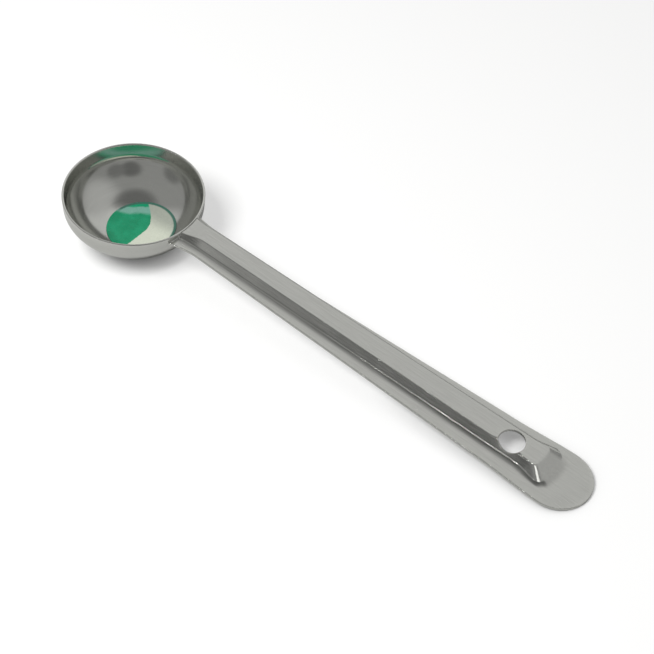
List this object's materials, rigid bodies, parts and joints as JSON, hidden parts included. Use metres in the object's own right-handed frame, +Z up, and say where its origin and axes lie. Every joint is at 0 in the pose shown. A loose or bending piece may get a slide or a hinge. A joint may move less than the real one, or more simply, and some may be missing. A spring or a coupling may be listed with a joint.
{
  "type": "soup ladle",
  "caption": "Small polished steel serving ladle: round drawn bowl with a flat floor, straight ribbed handle with a hanging hole and rounded tongue, round two-tone label in the bowl.",
  "frame": {"origin": "on the table plane, under the middle of the whole ladle as it lies", "axes": "+X along the handle from the bowl to the tip, +Y towards the side the rib is moved to, +Z up; the ladle lies on the bowl's bottom and the handle's tip"},
  "size_m": [0.302, 0.07, 0.0289],
  "materials": {
    "bowl_steel": "polished, faint spin marks from drawing",
    "handle_steel": "polished with fine lengthwise marks",
    "weld_steel": "ground and polished fillet",
    "label_film": "gloss film, green with a cream side"
  },
  "bodies": {
    "root": {"bowl": "bowl_steel", "handle": "handle_steel", "root_weld": "weld_steel", "label": "label_film"}
  },
  "joints": []
}
